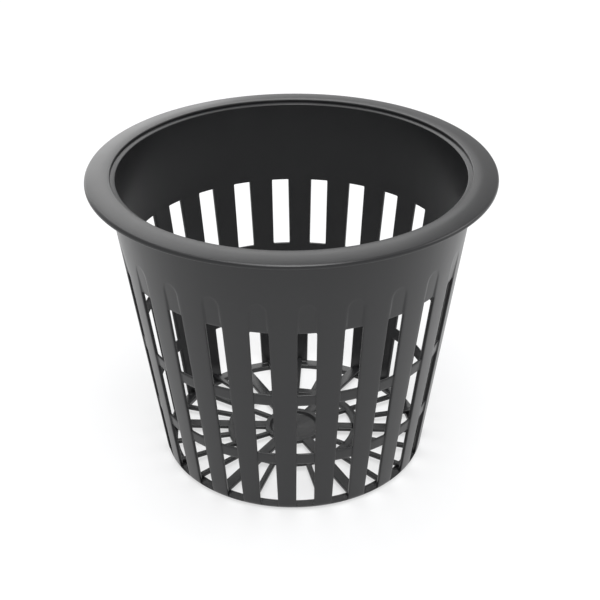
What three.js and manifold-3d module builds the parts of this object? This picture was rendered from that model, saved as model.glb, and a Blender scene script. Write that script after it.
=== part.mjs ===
// Net pot: a tapering slotted basket with a wide flat lip, injection moulded from black
// polypropylene, for growing a plant with its roots hanging through the wall.
// Millimetres, +Z up. The foot stands on z = 0, the axis of the pot is the Z axis, and the
// slots are spaced evenly from the one on +X.
import * as THREE from 'three';
import { mergeVertices } from 'three/addons/utils/BufferGeometryUtils.js';
import Module from 'manifold-3d';

const wasm = await Module();
wasm.setup();

// Overall size of the cone: its outer face between the foot plane and the crown of the lip
const potHeight = 80.1;
const topDiameter = 92.1;
const footDiameter = 69.5;

// Walls and lip. The band under the lip grows thicker towards it, and the lip rises inwards from
// its edge to a low crown round the mouth.
const wallThickness = 0.95;
const bandThickness = 2.3;
const lipThickness = 1;
const lipWidth = 7.5;
const lipEdgeBevel = 0.25;
const lipRootMargin = 0.2;
const lipCrown = 0.6;
const crownWidth = 2.2;
const mouthBevel = 0.9;

// Slots, the grooves that they lie in, and the hoops between them. A flat facet of the wall spans
// each slot and runs on past its sides by the facet margin.
const slotCount = 24;
const slotWidth = 4.5;
const slotTopDepth = 22.95;
const grooveDepth = 0.35;
const grooveTopDepth = 14.2;
const hoopHeight = 3.3;
const upperHoopHeight = 35.1;
const lowerHoopHeight = 15.95;
const facetMargin = 0.3;

// Foot: a low ring, rounded under. The rounding runs on up the ends of the bars.
const footRingHeight = 1.3;
const footRingWidth = 2.75;
const footFillet = 2.25;

// Base: ribs that lie on the foot ring, a ring, and a hub like a shallow cup
const baseThickness = 1;
const ribWidth = 1.4;
const broadRibWidth = 3;
const broadRibEvery = 4;
const hubRibEvery = 2;
const baseRingDiameter = 36;
const baseRingWidth = 2.4;
const hubDiameter = 15.9;
const hubRimWidth = 1.3;
const recessDepth = 0.8;
const recessSlant = 0.5;
const cupDrop = 0.6;
const cupRimWidth = 0.9;
const nubDiameter = 1.8;
const nubHeight = 0.3;

// Fineness of the round faces
const roundSegments = 96;
const hubSegments = 48;
const ringFilletSteps = 3;
const barFilletSteps = 2;
const arcSegments = 5;

// How far a cutting tool runs past the face that it cuts
const cutterReach = 3;

// What follows from the driving dimensions
const pitch = 2 * Math.PI / slotCount;
const slotHalf = slotWidth / 2;
const facetHalf = slotHalf + facetMargin;
const slope = (topDiameter - footDiameter) / 2 / potHeight;
const lean = Math.atan(slope);
const lipEdgeTop = potHeight - lipCrown;
const wallTop = lipEdgeTop - lipThickness;
const slotTop = potHeight - slotTopDepth;
const grooveTop = potHeight - grooveTopDepth;
const mouthRadius = outerRadius(wallTop) - bandThickness;
const footInner = footDiameter / 2 - footRingWidth;
const ringTopAngle = Math.asin(footRingHeight / footFillet - 1);
const baseLow = footRingHeight;
const baseTop = baseLow + baseThickness;
const baseRingOuter = baseRingDiameter / 2;
const baseRingInner = baseRingOuter - baseRingWidth;

// Radius of the pot's outer face at a height, measured at the middle of a slot
function outerRadius(z) {
  return footDiameter / 2 + slope * z;
}

// Radius of the pot's inner face at a height, below the thick upper band
function innerRadius(z) {
  return outerRadius(z) - wallThickness;
}

// Radius of the bottom of the grooves, which is also the outer face of the hoops
function grooveRadius(z) {
  return outerRadius(z) - grooveDepth;
}

// Points of the outer face where it turns under at the foot, between two angles of its rounding.
// Straight down is -90 degrees, and the wall above goes on from minus its lean.
function footRounding(from, to, steps) {
  const centre = outerRadius(footFillet) - footFillet / Math.cos(lean);
  const points = [];
  for (let step = 0; step <= steps; step += 1) {
    const angle = from + (to - from) * step / steps;
    points.push([
      centre + footFillet * Math.cos(angle),
      footFillet + footFillet * Math.sin(angle),
    ]);
  }
  return points;
}

// A line up the wall that stands beside the middle of a slot: it gives the point at a radius
function columnBeside(slot, across) {
  const angle = slot * pitch;
  return (r) => [
    r * Math.cos(angle) - across * Math.sin(angle),
    r * Math.sin(angle) + across * Math.cos(angle),
  ];
}

// The corners of the faceted wall: a flat facet spans each slot, and another each bar
const wallColumns = [];
for (let slot = 0; slot < slotCount; slot += 1) {
  wallColumns.push(columnBeside(slot, -facetHalf), columnBeside(slot, facetHalf));
}

// The four corners across the bar that stands between the first two slots
const barColumns = [
  columnBeside(0, slotHalf),
  columnBeside(0, facetHalf),
  columnBeside(1, -facetHalf),
  columnBeside(1, -slotHalf),
];

// The corners of the base ring, with a flat facet in line with each bar
const baseColumns = [];
for (let slot = 0; slot < slotCount; slot += 1) {
  const angle = slot * pitch;
  const reach = 1 / Math.cos(pitch / 2);
  baseColumns.push((r) => [r * reach * Math.cos(angle), r * reach * Math.sin(angle)]);
}

// Sweeps a closed outline of [radius, height] points, anticlockwise, round the given columns.
// A ring closes on itself; anything else is capped at its first and last column.
function sweep(outline, columns, isRing) {
  const size = outline.length;
  const points = columns.flatMap((column) => outline.flatMap(([r, z]) => [...column(r), z]));
  const index = [];
  const spans = isRing ? columns.length : columns.length - 1;
  for (let span = 0; span < spans; span += 1) {
    const a = span * size;
    const b = ((span + 1) % columns.length) * size;
    for (let i = 0; i < size; i += 1) {
      const j = (i + 1) % size;
      index.push(a + i, b + i, b + j, a + i, b + j, a + j);
    }
  }
  if (!isRing) {
    const face = outline.map(([r, z]) => new THREE.Vector2(r, z));
    const last = (columns.length - 1) * size;
    for (const [p, q, s] of THREE.ShapeUtils.triangulateShape(face, [])) {
      index.push(p, q, s, last + s, last + q, last + p);
    }
  }
  const geometry = new THREE.BufferGeometry();
  geometry.setAttribute('position', new THREE.Float32BufferAttribute(points, 3));
  geometry.setIndex(index);
  return geometry;
}

// Turns a closed geometry into a solid that can be cut and joined
function toSolid(geometry) {
  const bare = geometry.clone();
  bare.deleteAttribute('normal');
  bare.deleteAttribute('uv');
  const merged = mergeVertices(bare, 1e-5);
  const vertProperties = new Float32Array(merged.attributes.position.array);
  const triVerts = new Uint32Array(merged.index.array);
  return new wasm.Manifold(new wasm.Mesh({ numProp: 3, vertProperties, triVerts }));
}

// Turns a solid back into a geometry
function toGeometry(solid) {
  const { vertProperties, triVerts } = solid.getMesh();
  const geometry = new THREE.BufferGeometry();
  geometry.setAttribute('position', new THREE.Float32BufferAttribute(vertProperties, 3));
  geometry.setIndex(Array.from(triVerts));
  return geometry;
}

// A solid of revolution from a closed outline of [radius, height] points
function turned(outline, segments) {
  const points = outline.map(([r, z]) => new THREE.Vector2(r, z));
  const geometry = new THREE.LatheGeometry([...points, points[0]], segments);
  geometry.rotateX(Math.PI / 2);
  return geometry;
}

// Cuts a groove of one outline (across the slot, up the pot) into a wall in line with each slot.
// Its floor keeps the slope of the wall.
function cutGrooves(wall, outline) {
  const options = { depth: cutterReach, bevelEnabled: false, curveSegments: arcSegments };
  const geometry = new THREE.ExtrudeGeometry(outline, options);
  const position = geometry.attributes.position;
  for (let i = 0; i < position.count; i += 1) {
    const across = position.getX(i);
    const z = position.getY(i);
    const out = position.getZ(i);
    position.setXYZ(i, grooveRadius(z) + out, across, z);
  }
  const cutter = toSolid(geometry);
  let solid = toSolid(wall);
  for (let slot = 0; slot < slotCount; slot += 1) {
    solid = solid.subtract(cutter.rotate([0, 0, 360 * slot / slotCount]));
  }
  return toGeometry(solid);
}

// A straight rib along +X in the thickness of the base. Its far end may lean: it is given by its
// distances at the bottom and at the top.
function rib(from, toBottom, toTop, width) {
  return sweep([
    [from, baseLow],
    [toBottom, baseLow],
    [toTop, baseTop],
    [from, baseTop],
  ], [(r) => [r, -width / 2], (r) => [r, width / 2]], false);
}

// The bars and ribs all stand midway between two slots
function barAngle(bar) {
  return (bar + 0.5) * pitch;
}

// Every fourth rib is a broad one
function ribWidthAt(bar) {
  return bar % broadRibEvery === broadRibEvery - 1 ? broadRibWidth : ribWidth;
}

// Lip: a wide ring with a softened outer edge, lying on the top of the wall, with a low crown round
// the mouth. Its underside is divided at the root, just outside the wall, so the part that rests on
// things is free of the wall.
function lipRing() {
  const outer = mouthRadius + lipWidth;
  const root = Math.hypot(outerRadius(wallTop), facetHalf) + lipRootMargin;
  return turned([
    [mouthRadius, wallTop],
    [root, wallTop],
    [outer - lipEdgeBevel, wallTop],
    [outer, wallTop + lipEdgeBevel],
    [outer, lipEdgeTop - lipEdgeBevel],
    [outer - lipEdgeBevel, lipEdgeTop],
    [mouthRadius + crownWidth, potHeight],
    [mouthRadius + mouthBevel, potHeight],
    [mouthRadius, potHeight - mouthBevel],
  ], roundSegments);
}

// Upper wall: the plain band under the lip, thickest at the lip, with the round-ended top of a
// groove above each slot
function upperWall() {
  const band = sweep([
    [innerRadius(slotTop), slotTop],
    [outerRadius(slotTop), slotTop],
    [outerRadius(wallTop), wallTop],
    [mouthRadius, wallTop],
  ], wallColumns, true);
  const tongue = new THREE.Shape();
  tongue.moveTo(-slotHalf, slotTop - cutterReach);
  tongue.lineTo(slotHalf, slotTop - cutterReach);
  tongue.lineTo(slotHalf, grooveTop - slotHalf);
  tongue.absarc(0, grooveTop - slotHalf, slotHalf, 0, Math.PI, false);
  tongue.closePath();
  return cutGrooves(band, tongue);
}

// Hoop: a plain ring between two rows of slots, set back from the faces of the bars
function hoop(bottom) {
  const top = bottom + hoopHeight;
  return sweep([
    [innerRadius(bottom), bottom],
    [grooveRadius(bottom), bottom],
    [grooveRadius(top), top],
    [innerRadius(top), top],
  ], wallColumns, true);
}

// Bar: a stave from the foot ring to the upper wall, passing in front of both hoops. Its lower end
// carries the top of the foot's rounding.
function bar() {
  const outline = [
    [innerRadius(footRingHeight), footRingHeight],
    ...footRounding(ringTopAngle, -lean, barFilletSteps),
    [outerRadius(slotTop), slotTop],
    [innerRadius(slotTop), slotTop],
  ];
  for (const bottom of [upperHoopHeight, lowerHoopHeight]) {
    const top = bottom + hoopHeight;
    outline.push(
      [innerRadius(top), top],
      [grooveRadius(top), top],
      [grooveRadius(bottom), bottom],
      [innerRadius(bottom), bottom],
    );
  }
  return sweep(outline, barColumns, false);
}

// Foot ring: a low ring that the bars and the base ribs stand on, rounded under, with a flat land
// for the pot to stand on
function footRing() {
  return sweep([
    [footInner, 0],
    ...footRounding(-Math.PI / 2, ringTopAngle, ringFilletSteps),
    [footInner, footRingHeight],
  ], wallColumns, true);
}

// Base ring: a flat ring halfway out across the base
function baseRing() {
  return sweep([
    [baseRingInner, baseLow],
    [baseRingOuter, baseLow],
    [baseRingOuter, baseTop],
    [baseRingInner, baseTop],
  ], baseColumns, true);
}

// How far the inner face of a bar is from the axis at a height, at the bar's middle
function barInside(z) {
  return innerRadius(z) * Math.cos(pitch / 2) + facetHalf * Math.sin(pitch / 2);
}

// Base rib: it joins the base ring to a bar of the wall, and lies on the foot ring on its way
function baseRib(width) {
  return rib(baseRingOuter, barInside(baseLow), barInside(baseTop), width);
}

// Base spider: the hub, a shallow cup that hangs below the ribs, with a small moulding nub in its
// middle, and the ribs that join it to the base ring
function baseSpider() {
  const hubRadius = hubDiameter / 2;
  const recessRadius = hubRadius - hubRimWidth;
  const cupRadius = hubRadius - cupRimWidth;
  const floor = baseTop - recessDepth;
  const hub = turned([
    [0, baseLow - cupDrop],
    [cupRadius - cupDrop, baseLow - cupDrop],
    [cupRadius, baseLow],
    [hubRadius, baseLow],
    [hubRadius, baseTop],
    [recessRadius, baseTop],
    [recessRadius - recessSlant, floor],
    [nubDiameter / 2, floor],
    [nubDiameter / 2, floor + nubHeight],
    [0, floor + nubHeight],
  ], hubSegments);
  let solid = toSolid(hub);
  const ribStart = (recessRadius + hubRadius) / 2;
  for (let index = 0; index < slotCount; index += 1) {
    if (index % hubRibEvery === hubRibEvery - 1) {
      const spoke = toSolid(rib(ribStart, baseRingInner, baseRingInner, ribWidthAt(index)));
      solid = solid.add(spoke.rotate([0, 0, 360 * (index + 0.5) / slotCount]));
    }
  }
  return toGeometry(solid);
}

const group = new THREE.Group();

// Adds one named piece in black polypropylene, turned about the pot's axis
function addPiece(name, geometry, angle = 0) {
  const plastic = new THREE.MeshStandardMaterial({ color: 0x2c2d30, roughness: 0.4, metalness: 0 });
  const piece = new THREE.Mesh(geometry, plastic);
  piece.name = name;
  piece.rotation.z = angle;
  group.add(piece);
}

addPiece('lip_ring', lipRing());
addPiece('upper_wall', upperWall());
addPiece('upper_hoop', hoop(upperHoopHeight));
addPiece('lower_hoop', hoop(lowerHoopHeight));
addPiece('foot_ring', footRing());
addPiece('base_ring', baseRing());
addPiece('base_spider', baseSpider());
for (let index = 0; index < slotCount; index += 1) {
  const number = String(index + 1).padStart(2, '0');
  addPiece(`side_bar_${number}`, bar(), index * pitch);
  addPiece(`base_rib_${number}`, baseRib(ribWidthAt(index)), barAngle(index));
}

export default group;
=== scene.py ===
import math

import bmesh
import bpy
from mathutils import Matrix, Vector


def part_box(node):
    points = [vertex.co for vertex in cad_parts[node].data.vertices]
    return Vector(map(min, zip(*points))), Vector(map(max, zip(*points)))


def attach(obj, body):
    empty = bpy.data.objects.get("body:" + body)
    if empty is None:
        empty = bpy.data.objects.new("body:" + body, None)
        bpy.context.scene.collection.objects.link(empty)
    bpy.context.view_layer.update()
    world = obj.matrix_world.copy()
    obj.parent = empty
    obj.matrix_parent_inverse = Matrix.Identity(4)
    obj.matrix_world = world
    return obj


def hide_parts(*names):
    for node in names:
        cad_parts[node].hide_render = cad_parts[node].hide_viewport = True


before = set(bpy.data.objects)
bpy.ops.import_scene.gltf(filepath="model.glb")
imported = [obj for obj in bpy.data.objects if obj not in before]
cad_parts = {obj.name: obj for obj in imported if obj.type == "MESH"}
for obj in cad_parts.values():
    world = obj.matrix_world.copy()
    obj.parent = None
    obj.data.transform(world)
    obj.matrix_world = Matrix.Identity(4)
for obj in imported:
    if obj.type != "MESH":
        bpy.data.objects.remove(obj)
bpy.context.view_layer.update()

# Slotted wall.
# The side of the pot, one injection moulding in black polypropylene: a plain band on top, 24 bars
# with 24 slots between them, two thin hoops set back behind the faces of the bars, and a foot that
# turns under. Each slot lies in a shallow groove with a round end, cut into the band above it.
MM = 0.001
slot_count = 24
pitch = 2 * math.pi / slot_count
wall_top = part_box("upper_wall")[1].z
slot_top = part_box("upper_wall")[0].z
foot_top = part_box("foot_ring")[1].z
hoops = [
    (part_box("lower_hoop")[0].z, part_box("lower_hoop")[1].z),
    (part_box("upper_hoop")[0].z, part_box("upper_hoop")[1].z),
]
hoop_radii = [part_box("lower_hoop")[1].x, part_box("upper_hoop")[1].x]
slope = (hoop_radii[1] - hoop_radii[0]) / (hoops[1][1] - hoops[0][1])
wall_top_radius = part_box("upper_wall")[1].x
groove_depth = wall_top_radius - slope * (wall_top - hoops[0][1]) - hoop_radii[0]
slot_half = 2.25 * MM
wall_thickness = 0.95 * MM
band_thickness = 2.3 * MM
foot_inner = 32 * MM
foot_fillet = 2.25 * MM
groove_middle = slot_top + 3.2 * MM
groove_arch = slot_top + 6.5 * MM
groove_bevel = 0.4 * MM
groove_fade = 0.92
arch_steps = 3
ledge_height = wall_top + 0.4 * MM
ledge_top = wall_top + 0.9 * MM
ledge_width = 1.25 * MM
ledge_lead = 0.1
ledge_corner = 0.3
edge_loop = 0.22 * MM
bar_draft = 0.15 * MM
bay_half = 5.2 * MM


def outer_radius(z):
    return wall_top_radius - slope * (wall_top - z)


def inner_radius(z):
    """Even up to the slots' tops, then thicker towards the mouth, where a slanted ledge opens out."""
    if z <= slot_top:
        return outer_radius(z) - wall_thickness
    if z <= ledge_height:
        share = min(1, (z - slot_top) / (wall_top - slot_top))
        extra = share * (band_thickness - wall_thickness)
        return outer_radius(min(z, wall_top)) - wall_thickness - extra
    share = min(1, (z - ledge_height) / (ledge_top - ledge_height))
    slant = max(ledge_lead * share, (share - ledge_corner) / (1 - ledge_corner))
    return outer_radius(wall_top) - band_thickness + ledge_width * slant


def floor_radius(z):
    """The hoops' faces and, above the slots, the grooves' floor, which rises to their round ends."""
    share = min(1, max(0, (z - slot_top) / (groove_arch + slot_half - slot_top)))
    return outer_radius(z) - groove_depth * (1 - groove_fade * share)


def arch_rise(across):
    """Height of a groove's round end above its spring line."""
    return math.sqrt(max(0, slot_half**2 - across**2))


def level(height, arched=0):
    """A row of the wall at one height, or along the round end of the groove if it is arched."""
    def points(across):
        z = height + arched * arch_rise(across)
        floor_z = z - arched * groove_bevel
        floor = (floor_radius(floor_z), floor_z)
        return [(foot_inner, z), (inner_radius(z), z), floor, (outer_radius(z), z)]
    return points


def foot_row(z, inner_r):
    """A row of the foot, where the outer face lies on the fillet."""
    def points(across):
        face = fillet_radius + math.sqrt(foot_fillet**2 - (foot_fillet - z) ** 2)
        floor = (inner_r + 2 * face) / 3
        return [(foot_inner, z), (inner_r, z), (floor, z), (face, z)]
    return points


lean = math.atan(slope)
fillet_radius = outer_radius(foot_fillet) - foot_fillet / math.cos(lean)
across_slot = [
    slot_half * math.sin(math.radians(90 * step / arch_steps))
    for step in range(-arch_steps, arch_steps + 1)
]
columns = [-bay_half, -slot_half - edge_loop, *across_slot, slot_half + edge_loop, bay_half]
foot_heights = [0.16 * MM, 0.5 * MM, foot_top - edge_loop, foot_top]
rows = [foot_row(0, foot_inner + edge_loop)]
rows += [foot_row(height, inner_radius(foot_top)) for height in foot_heights]
zones = ["foot"] * len(foot_heights)


def add_rows(zone, *new_rows):
    """Rows that end cells of one zone: foot, slot, hoop, groove or band."""
    for row in new_rows:
        rows.append(row)
        zones.append(zone)


fillet_middle = foot_top + 0.6 * MM
for height in (foot_top + edge_loop, fillet_middle):
    add_rows("slot", foot_row(height, inner_radius(height)))
below = foot_fillet
for bottom, top in hoops:
    middle = (below + bottom) / 2
    add_rows("slot", level(below + edge_loop), level(middle), level(bottom - edge_loop), level(bottom))
    add_rows("hoop", level(bottom + edge_loop), level(top - edge_loop), level(top))
    below = top
middle = (below + slot_top) / 2
add_rows("slot", level(below + edge_loop), level(middle), level(slot_top - edge_loop), level(slot_top))
add_rows("groove", level(slot_top + edge_loop), level(groove_middle))
add_rows("groove", level(groove_arch - edge_loop, 1), level(groove_arch, 1))
add_rows("band", level(groove_arch + edge_loop, 1))
band_rises = (5 * MM, 9 * MM)
for rise in band_rises:
    add_rows("band", level(groove_arch + rise))
add_rows("band", level(ledge_height))
ledge_rise = ledge_top - ledge_height
ledge_shares = (0.18, 0.33, 0.5, 1)
for share in ledge_shares:
    add_rows("band", level(ledge_height + ledge_rise * share))


def is_plastic(i, j, k):
    """Whether a cell is filled: column i, row j, and layer k, which is flange, wall or face.

    Past both ends of a row the next bay goes on, so there it counts as filled.
    """
    if i < 0 or i >= len(columns) - 1:
        return True
    if j < 0 or j >= len(rows) - 1 or k < 0 or k > 2:
        return False
    in_slot = abs(columns[i] + columns[i + 1]) / 2 < slot_half
    if k == 0:
        return zones[j] == "foot"
    if k == 1:
        return not in_slot or zones[j] != "slot"
    return not in_slot or zones[j] in ("foot", "band")


def bay_mesh():
    """One bay of the wall, laid flat in front of the pot: a slot with half a bar at each side."""
    mesh = bmesh.new()
    corners = {}

    def corner(i, j, k):
        if (i, j, k) not in corners:
            radius, z = rows[j](columns[i])[k]
            across = columns[i]
            if k == 1 and slot_half <= abs(across) < bay_half:
                across += math.copysign(bar_draft, across)
            if k == 2 and zones[j - 1] == "groove":
                across *= 1 - groove_bevel / slot_half if abs(across) <= slot_half else 1
            corners[i, j, k] = mesh.verts.new((across, -radius, z))
        return corners[i, j, k]

    def face(*places):
        found = []
        for place in places:
            if corner(*place) not in found:
                found.append(corner(*place))
        if len(found) > 2:
            mesh.faces.new(found)

    for i in range(len(columns) - 1):
        for j in range(len(rows) - 1):
            for k in range(3):
                if not is_plastic(i, j, k):
                    continue
                a, b, c = i + 1, j + 1, k + 1
                if not is_plastic(i, j, k + 1):
                    face((i, j, c), (a, j, c), (a, b, c), (i, b, c))
                if not is_plastic(i, j, k - 1):
                    face((i, j, k), (i, b, k), (a, b, k), (a, j, k))
                if not is_plastic(i + 1, j, k):
                    face((a, j, k), (a, b, k), (a, b, c), (a, j, c))
                if not is_plastic(i - 1, j, k):
                    face((i, j, k), (i, j, c), (i, b, c), (i, b, k))
                if not is_plastic(i, j + 1, k):
                    face((i, b, k), (i, b, c), (a, b, c), (a, b, k))
                if not is_plastic(i, j - 1, k):
                    face((i, j, k), (a, j, k), (a, j, c), (i, j, c))
    data = bpy.data.meshes.new("slotted_wall")
    mesh.to_mesh(data)
    mesh.free()
    return data


def new_tree(name, sizes):
    """A Geometry Nodes tree with a named input for each size."""
    tree = bpy.data.node_groups.new(name, "GeometryNodeTree")
    tree.interface.new_socket("Geometry", in_out="INPUT", socket_type="NodeSocketGeometry")
    for size, value in sizes.items():
        kind = "NodeSocketInt" if isinstance(value, int) else "NodeSocketFloat"
        tree.interface.new_socket(size, in_out="INPUT", socket_type=kind)
    tree.interface.new_socket("Geometry", in_out="OUTPUT", socket_type="NodeSocketGeometry")
    return tree


def add_node(tree, kind, inputs=None, **settings):
    """Adds a node. An input is a number, or the output of another node."""
    node = tree.nodes.new(kind)
    for setting, value in settings.items():
        setattr(node, setting, value)
    for name, value in (inputs or {}).items():
        if isinstance(value, bpy.types.NodeSocket):
            tree.links.new(value, node.inputs[name])
        else:
            node.inputs[name].default_value = value
    return node


def calc(tree, operation, *terms):
    """The output of a Math node."""
    return add_node(tree, "ShaderNodeMath", dict(enumerate(terms)), operation=operation).outputs[0]


def bend_wall(tree, bay, half_slot, half_bay, count):
    """Bends the flat bay round the axis. The slot keeps its width, and the bar takes the rest."""
    position = add_node(tree, "GeometryNodeInputPosition").outputs[0]
    place = add_node(tree, "ShaderNodeSeparateXYZ", {0: position})
    x, y, z = place.outputs
    radius = calc(tree, "MULTIPLY", y, -1.0)
    across = calc(tree, "ABSOLUTE", x)
    in_slot = calc(tree, "MINIMUM", across, half_slot)
    slot_angle = calc(tree, "ARCSINE", calc(tree, "DIVIDE", in_slot, radius))
    past_slot = calc(tree, "SUBTRACT", across, in_slot)
    bar_share = calc(tree, "DIVIDE", past_slot, calc(tree, "SUBTRACT", half_bay, half_slot))
    bay_angle = calc(tree, "DIVIDE", math.pi, count)
    bar_angle = calc(tree, "MULTIPLY", bar_share, calc(tree, "SUBTRACT", bay_angle, slot_angle))
    angle = calc(tree, "MULTIPLY", calc(tree, "SIGN", x), calc(tree, "ADD", slot_angle, bar_angle))
    right = calc(tree, "MULTIPLY", radius, calc(tree, "SINE", angle))
    back = calc(tree, "MULTIPLY", y, calc(tree, "COSINE", angle))
    bent = add_node(tree, "ShaderNodeCombineXYZ", {0: right, 1: back, 2: z})
    moved = add_node(tree, "GeometryNodeSetPosition", {"Geometry": bay, "Position": bent.outputs[0]})
    return moved.outputs[0]


def round_the_axis(tree, piece, count, first_angle=0.0, chosen=None):
    """Copies of a piece, evenly spaced round the pot's axis."""
    points = add_node(tree, "GeometryNodePoints", {"Count": count}).outputs[0]
    index = add_node(tree, "GeometryNodeInputIndex").outputs[0]
    step = calc(tree, "DIVIDE", 2 * math.pi, count)
    turn = calc(tree, "MULTIPLY_ADD", index, step, first_angle)
    euler = add_node(tree, "ShaderNodeCombineXYZ", {2: turn}).outputs[0]
    rotation = add_node(tree, "FunctionNodeEulerToRotation", {0: euler}).outputs[0]
    inputs = {"Points": points, "Instance": piece, "Rotation": rotation}
    if chosen is not None:
        inputs["Selection"] = chosen(index)
    return add_node(tree, "GeometryNodeInstanceOnPoints", inputs).outputs[0]


weld = 0.002 * MM


def end_tree(tree, instances, material):
    """Realizes the copies, joins those that meet, and gives them their material."""
    solid = add_node(tree, "GeometryNodeRealizeInstances", {"Geometry": instances}).outputs[0]
    merged = add_node(tree, "GeometryNodeMergeByDistance", {"Geometry": solid, "Distance": weld})
    smooth = add_node(tree, "GeometryNodeSetShadeSmooth", {"Geometry": merged.outputs[0]})
    done = add_node(
        tree, "GeometryNodeSetMaterial", {"Geometry": smooth.outputs[0], "Material": material}
    )
    output = tree.nodes.new("NodeGroupOutput")
    tree.links.new(done.outputs[0], output.inputs[0])


def add_piece(name, data):
    """An object at the origin, with its place in its mesh."""
    piece = bpy.data.objects.new(name, data)
    bpy.context.scene.collection.objects.link(piece)
    return piece


def grow(piece, tree, sizes):
    """Runs a tree on a piece with the given sizes, and keeps the result as a plain mesh."""
    modifier = piece.modifiers.new(tree.name, "NODES")
    modifier.node_group = tree
    for socket in tree.interface.items_tree:
        if socket.in_out == "INPUT" and socket.name in sizes:
            modifier[socket.identifier] = sizes[socket.name]
    evaluated = piece.evaluated_get(bpy.context.evaluated_depsgraph_get())
    grown = bpy.data.meshes.new_from_object(evaluated)
    piece.modifiers.remove(modifier)
    piece.data = grown
    grown.name = piece.name


def seat(piece, *nodes):
    """The piece stands for these nodes of the frame, which has the one body."""
    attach(piece, "root")
    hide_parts(*nodes)


def numbered(name):
    """The frame's nodes of one name, one for each bar or rib."""
    return [f"{name}_{number:02d}" for number in range(1, slot_count + 1)]


dark_tint = (0.0085, 0.0087, 0.0095, 1)
light_tint = (0.0125, 0.0127, 0.0136, 1)
cloud_scale = 140
grain_scale = 2600
least_rough = 0.27
most_rough = 0.35
wave_height = 0.02 * MM
grain_height = 0.008 * MM
plastic_ior = 1.49


def moulded_black():
    """Black polypropylene out of a polished and lightly blasted mould: satin, never quite even."""
    material = bpy.data.materials.new("moulded_black")
    material.use_nodes = True
    tree = material.node_tree
    shader = tree.nodes["Principled BSDF"]
    place = add_node(tree, "ShaderNodeTexCoord").outputs["Object"]
    cloud = add_node(tree, "ShaderNodeTexNoise", {"Vector": place, "Scale": cloud_scale, "Detail": 3})
    grain = add_node(tree, "ShaderNodeTexNoise", {"Vector": place, "Scale": grain_scale, "Detail": 2})
    tint = add_node(tree, "ShaderNodeMix", {"Factor": cloud.outputs[0]}, data_type="RGBA")
    tint.inputs["A"].default_value = dark_tint
    tint.inputs["B"].default_value = light_tint
    tree.links.new(tint.outputs["Result"], shader.inputs["Base Color"])
    gloss = add_node(
        tree,
        "ShaderNodeMapRange",
        {"Value": cloud.outputs[0], "To Min": least_rough, "To Max": most_rough},
    )
    tree.links.new(gloss.outputs[0], shader.inputs["Roughness"])
    wave = add_node(tree, "ShaderNodeBump", {"Height": cloud.outputs[0], "Distance": wave_height})
    fine = add_node(
        tree,
        "ShaderNodeBump",
        {"Height": grain.outputs[0], "Distance": grain_height, "Normal": wave.outputs[0]},
    )
    tree.links.new(fine.outputs[0], shader.inputs["Normal"])
    shader.inputs["IOR"].default_value = plastic_ior
    return material


black = moulded_black()
wall_sizes = {"Half slot": slot_half, "Half bay": bay_half, "Slots": slot_count}
wall_tree = new_tree("bend_and_repeat", wall_sizes)
wall_inputs = wall_tree.nodes.new("NodeGroupInput").outputs
rounded_bay = add_node(
    wall_tree, "GeometryNodeSubdivisionSurface", {"Mesh": wall_inputs["Geometry"], "Level": 1}
)
bent_bay = bend_wall(
    wall_tree,
    rounded_bay.outputs[0],
    wall_inputs["Half slot"],
    wall_inputs["Half bay"],
    wall_inputs["Slots"],
)
end_tree(wall_tree, round_the_axis(wall_tree, bent_bay, wall_inputs["Slots"]), black)
slotted_wall = add_piece("slotted_wall", bay_mesh())
grow(slotted_wall, wall_tree, wall_sizes)
seat(slotted_wall, "upper_wall", "upper_hoop", "lower_hoop", "foot_ring", *numbered("side_bar"))

# Lip.
# The wide flange that the pot hangs by, moulded in one with the wall in the same black plastic. Its
# outer edge is rounded, and it rises inwards to a low crown with a crisp inner edge, which steps
# down to the wall's narrow slanted ledge in the mouth.
lip_low, lip_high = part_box("lip_ring")


def rounded_outline(corners, steps=4):
    """Points of a closed outline from corners (radius, height, rounding), with an arc at each."""
    points = []
    for number, (r, z, rounding) in enumerate(corners):
        here = Vector((r, z))
        before = Vector(corners[number - 1][:2]) - here
        after = Vector(corners[(number + 1) % len(corners)][:2]) - here
        if not rounding:
            points.append(here)
            continue
        half_angle = before.angle(after) / 2
        reach = rounding / math.tan(half_angle)
        centre = here + (before.normalized() + after.normalized()).normalized() * (
            rounding / math.sin(half_angle)
        )
        start = here + before.normalized() * reach - centre
        turn = start.angle_signed(here + after.normalized() * reach - centre)
        for step in range(steps + 1):
            share = start.copy()
            share.rotate(Matrix.Rotation(-turn * step / steps, 2))
            points.append(centre + share)
    return points


on_axis = 1e-7


def turned_mesh(name, outline, segments):
    """A solid of revolution from a closed outline, anticlockwise in radius and height."""
    mesh = bmesh.new()
    rings = []
    for point in outline:
        if point[0] < on_axis:
            rings.append([mesh.verts.new((0, 0, point[1]))] * segments)
            continue
        rings.append([
            mesh.verts.new((
                point[0] * math.cos(2 * math.pi * step / segments),
                point[0] * math.sin(2 * math.pi * step / segments),
                point[1],
            ))
            for step in range(segments)
        ])
    for lower, upper in zip(rings, rings[1:] + rings[:1]):
        for step in range(segments):
            after = (step + 1) % segments
            quad = [lower[step], lower[after], upper[after], upper[step]]
            found = [vert for number, vert in enumerate(quad) if vert not in quad[:number]]
            if len(found) > 2:
                mesh.faces.new(found)
    for face in mesh.faces:
        face.smooth = True
    data = bpy.data.meshes.new(name)
    mesh.to_mesh(data)
    mesh.free()
    data.materials.append(black)
    return data


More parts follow.
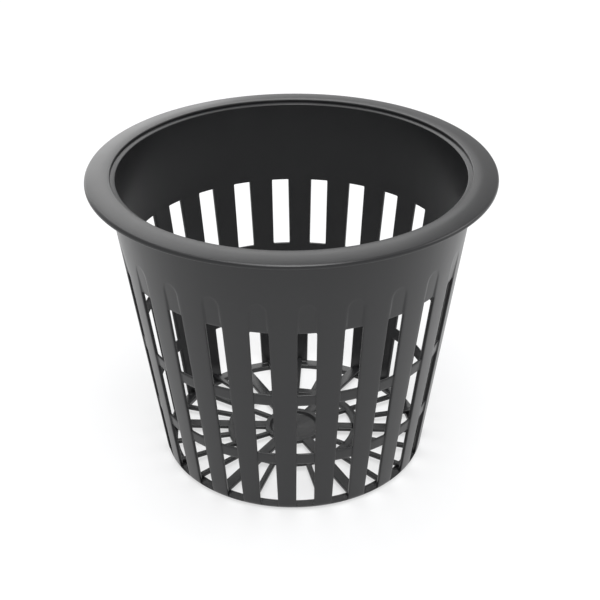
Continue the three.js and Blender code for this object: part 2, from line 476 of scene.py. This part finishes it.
lip_crown = 0.6 * MM
lip_overlap = 0.05 * MM
lip_corner = 0.25 * MM
lip_edge = 0.7 * MM
crown_width = 2 * MM
crown_rounding = 12 * MM
lip_segments = 288
lip_edge_top = lip_high.z - lip_crown
lip_inner = inner_radius(ledge_top) - lip_overlap
lip_outline = rounded_outline([
    (lip_inner, lip_low.z, 0),
    (lip_high.x, lip_low.z, lip_corner),
    (lip_high.x, lip_edge_top, lip_edge),
    (lip_inner + crown_width, lip_high.z, crown_rounding),
    (lip_inner, lip_high.z, lip_corner),
])
lip = add_piece("lip", turned_mesh("lip", lip_outline, lip_segments))
seat(lip, "lip_ring")

# Base ribs.
# Ribs of the same black plastic, in line with the bars, join the foot to the ring halfway across
# the base. They are narrow but for every fourth one, and moulded in one with the base.
base_low, base_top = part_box("base_ring")[0].z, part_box("base_ring")[1].z
ring_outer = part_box("base_ring")[1].x
base_rounding = 0.22 * MM
rib_edge_steps = 4
sunk_in_wall = 0.3 * MM
sunk_in_ring = 0.6 * MM
rib_sizes = {
    "Ribs": slot_count,
    "Width": 1.4 * MM,
    "Broad width": 3 * MM,
    "Broad every": 4,
    "From": ring_outer - sunk_in_ring,
    "To": inner_radius(base_low) + sunk_in_wall,
    "Bottom": base_low,
    "Top": base_top,
    "Rounding": base_rounding,
}


def rib(tree, sizes, width):
    """A straight rib along +X with rounded edges."""
    middle = calc(tree, "MULTIPLY", calc(tree, "ADD", sizes["Bottom"], sizes["Top"]), 0.5)
    height = calc(tree, "SUBTRACT", sizes["Top"], sizes["Bottom"])
    start = add_node(tree, "ShaderNodeCombineXYZ", {0: sizes["From"], 2: middle})
    end = add_node(tree, "ShaderNodeCombineXYZ", {0: sizes["To"], 2: middle})
    line = add_node(
        tree, "GeometryNodeCurvePrimitiveLine", {"Start": start.outputs[0], "End": end.outputs[0]}
    )
    section = add_node(
        tree, "GeometryNodeCurvePrimitiveQuadrilateral", {"Width": width, "Height": height}
    )
    softened = add_node(
        tree,
        "GeometryNodeFilletCurve",
        {"Curve": section.outputs[0], "Count": rib_edge_steps, "Radius": sizes["Rounding"]},
        mode="POLY",
    )
    bar = add_node(
        tree,
        "GeometryNodeCurveToMesh",
        {"Curve": line.outputs[0], "Profile Curve": softened.outputs[0], "Fill Caps": True},
    )
    return bar.outputs[0]


def rib_tree(name, sizes, first_angle):
    """Ribs round the axis, starting at an angle, of which the last of every few is broad."""
    tree = new_tree(name, sizes)
    size = tree.nodes.new("NodeGroupInput").outputs
    joined = tree.nodes.new("GeometryNodeJoinGeometry")

    def is_broad(index):
        place = calc(tree, "MODULO", index, size["Broad every"])
        last = calc(tree, "SUBTRACT", size["Broad every"], 1.0)
        return calc(tree, "COMPARE", place, last, 0.1)

    def is_narrow(index):
        return calc(tree, "SUBTRACT", 1.0, is_broad(index))

    for width, chosen in (("Width", is_narrow), ("Broad width", is_broad)):
        ribs = round_the_axis(tree, rib(tree, size, size[width]), size["Ribs"], first_angle, chosen)
        tree.links.new(ribs, joined.inputs[0])
    end_tree(tree, joined.outputs[0], black)
    return tree


base_ribs = add_piece("base_ribs", bpy.data.meshes.new("base_ribs"))
grow(base_ribs, rib_tree("outer_ribs", rib_sizes, pitch / 2), rib_sizes)
seat(base_ribs, *numbered("base_rib"))

# Base ring.
# A flat ring of the same black plastic that ties the ribs together halfway between the hub and the
# foot. It is as thick as they are, with all its edges rounded, and moulded in one with them.
ring_width = 2.4 * MM
ring_segments = 144
ring_inner = ring_outer - ring_width
ring_outline = rounded_outline([
    (ring_inner, base_low, base_rounding),
    (ring_outer, base_low, base_rounding),
    (ring_outer, base_top, base_rounding),
    (ring_inner, base_top, base_rounding),
])
ring_mesh = turned_mesh("base_ring_rounded", ring_outline, ring_segments)
base_ring = add_piece("base_ring_rounded", ring_mesh)
seat(base_ring, "base_ring")

# Hub.
# The middle of the base, in the same black plastic: a disc with a round recess in its top, a
# shallow cup below it that carries the recess, a small moulding nub in the middle, and 12 ribs out
# to the ring, one to every second base rib.
cup_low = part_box("base_spider")[0].z
hub_radius = 7.95 * MM
recess_radius = 6.65 * MM
recess_floor = base_top - 0.8 * MM
recess_slope = 0.5 * MM
recess_fillet = 0.45 * MM
nub_radius = 0.9 * MM
nub_height = 0.3 * MM
nub_foot = 0.1 * MM
nub_edge = 0.12 * MM
cup_radius = 7.05 * MM
soft = 0.2 * MM
hub_segments = 96
hub_outline = rounded_outline([
    (0, cup_low, 0),
    (cup_radius - (base_low - cup_low), cup_low, soft),
    (cup_radius, base_low, soft),
    (hub_radius, base_low, soft),
    (hub_radius, base_top, soft),
    (recess_radius, base_top, soft),
    (recess_radius - recess_slope, recess_floor, recess_fillet),
    (nub_radius, recess_floor, nub_foot),
    (nub_radius, recess_floor + nub_height, nub_edge),
    (0, recess_floor + nub_height, 0),
])
hub = add_piece("hub", turned_mesh("hub", hub_outline, hub_segments))
seat(hub, "base_spider")
sunk_in_hub = 0.6 * MM
spoke_sizes = dict(rib_sizes)
spoke_sizes.update({
    "Ribs": slot_count // 2,
    "Broad every": 2,
    "From": hub_radius - sunk_in_hub,
    "To": ring_inner + sunk_in_ring,
})
spokes = add_piece("hub_ribs", bpy.data.meshes.new("hub_ribs"))
grow(spokes, rib_tree("hub_ribs", spoke_sizes, pitch * 1.5), spoke_sizes)
seat(spokes, "base_spider")

# Floor, backdrop and light.
# The pot stands on a white table under six soft lamps. Two low ones behind on the left and a high
# one behind gleam on the lip, and the others stand high overhead, in front and on the right.
white_share = 0.6
floor_reach = 4
floor_colour = (0.85, 0.855, 0.865, 1)


def add_white(tree, surface, share):
    """Makes a surface whiter by a share to the camera and in reflections, and keeps its shadows."""
    path = tree.nodes.new("ShaderNodeLightPath")
    seen = calc(tree, "MAXIMUM", path.outputs["Is Camera Ray"], path.outputs["Is Glossy Ray"])
    seen = calc(tree, "MAXIMUM", seen, path.outputs["Is Transmission Ray"])
    white = add_node(tree, "ShaderNodeEmission", {"Strength": 1.0})
    factor = calc(tree, "MULTIPLY", seen, share)
    mixed = add_node(tree, "ShaderNodeMixShader", {0: factor, 1: surface, 2: white.outputs[0]})
    return mixed.outputs[0]


floor_data = bpy.data.meshes.new("floor")
floor_data.from_pydata(
    [(x * floor_reach, y * floor_reach, 0) for x, y in ((-1, -1), (1, -1), (1, 1), (-1, 1))],
    [],
    [(0, 1, 2, 3)],
)
floor = add_piece("floor", floor_data)
floor_white = bpy.data.materials.new("floor_white")
floor_white.use_nodes = True
floor_nodes = floor_white.node_tree
floor_nodes.nodes.remove(floor_nodes.nodes["Principled BSDF"])
matt = add_node(floor_nodes, "ShaderNodeBsdfDiffuse", {"Color": floor_colour})
floor_look = add_white(floor_nodes, matt.outputs[0], white_share)
floor_nodes.links.new(floor_look, floor_nodes.nodes["Material Output"].inputs["Surface"])
floor_data.materials.append(floor_white)

world = bpy.data.worlds.new("studio")
bpy.context.scene.world = world
world.use_nodes = True
sky = world.node_tree
path = sky.nodes.new("ShaderNodeLightPath")
seen = calc(sky, "MAXIMUM", path.outputs["Is Camera Ray"], path.outputs["Is Transmission Ray"])
ambient = 0.5
mirrored = 0.63
strength = calc(sky, "MULTIPLY_ADD", seen, 1 - ambient, ambient)
strength = calc(sky, "MULTIPLY_ADD", path.outputs["Is Glossy Ray"], mirrored - ambient, strength)
sky.links.new(strength, sky.nodes["Background"].inputs["Strength"])
sky.nodes["Background"].inputs["Color"].default_value = (1, 1, 1, 1)


lamp_target = Vector((0, 0, 0.04))


def add_lamp(name, place, width, height, power):
    """A soft rectangular lamp that looks at the pot and isn't seen by the camera."""
    data = bpy.data.lights.new(name, "AREA")
    data.shape = "RECTANGLE"
    data.size = width
    data.size_y = height
    data.energy = power
    lamp = bpy.data.objects.new(name, data)
    bpy.context.scene.collection.objects.link(lamp)
    lamp.location = place
    lamp.rotation_euler = (lamp_target - Vector(place)).to_track_quat("-Z", "Y").to_euler()
    lamp.visible_camera = False


add_lamp("low_left", (-0.42, 1.15, 0.32), 0.9, 0.5, 1.75)
add_lamp("back_left", (-0.55, 1.1, 0.42), 0.9, 0.6, 1)
add_lamp("back", (-0.01, 1.06, 0.92), 0.8, 0.6, 3.3)
add_lamp("overhead", (-0.1, -0.05, 1.3), 0.9, 0.7, 7.5)
add_lamp("front_high", (0.0, -0.6, 1.15), 0.6, 0.6, 7.5)
add_lamp("right_high", (1.0, 0.1, 0.7), 0.6, 0.6, 3)

# Camera.
# Where the photograph was taken from: a third of a metre from the middle of the rim and 24 degrees
# above it. The rim lies above the middle of the picture, and the camera leans by half a degree.
camera_distance = 0.335
camera_elevation = math.radians(24.269)
camera_turn = math.radians(4.373)
focal_pixels = 1346.35
rim_left_pixels = -7.258
rim_above_pixels = -131.896
camera_roll = -0.0091
image_pixels = 600
rim = Vector((0, 0, lip_edge_top))
away = Vector((
    -math.sin(camera_turn) * math.cos(camera_elevation),
    -math.cos(camera_turn) * math.cos(camera_elevation),
    math.sin(camera_elevation),
))
forward = -away
right = forward.cross(Vector((0, 0, 1))).normalized()
up = right.cross(forward)


def turned_pair(first, second, angle):
    """Two directions at right angles, turned in their plane, the first towards the second."""
    return (
        first * math.cos(angle) + second * math.sin(angle),
        second * math.cos(angle) - first * math.sin(angle),
    )


forward, right = turned_pair(forward, right, -math.atan(rim_left_pixels / focal_pixels))
forward, up = turned_pair(forward, up, math.atan(rim_above_pixels / focal_pixels))
right, up = turned_pair(right, up, camera_roll)
camera_data = bpy.data.cameras.new("camera")
camera_data.sensor_width = 36
camera_data.lens = camera_data.sensor_width * focal_pixels / image_pixels
camera = bpy.data.objects.new("camera", camera_data)
bpy.context.scene.collection.objects.link(camera)
turned = Matrix((right, up, -forward)).transposed().to_4x4()
camera.matrix_world = Matrix.Translation(rim + away * camera_distance) @ turned
bpy.context.scene.camera = camera
bpy.context.scene.view_settings.view_transform = "Standard"
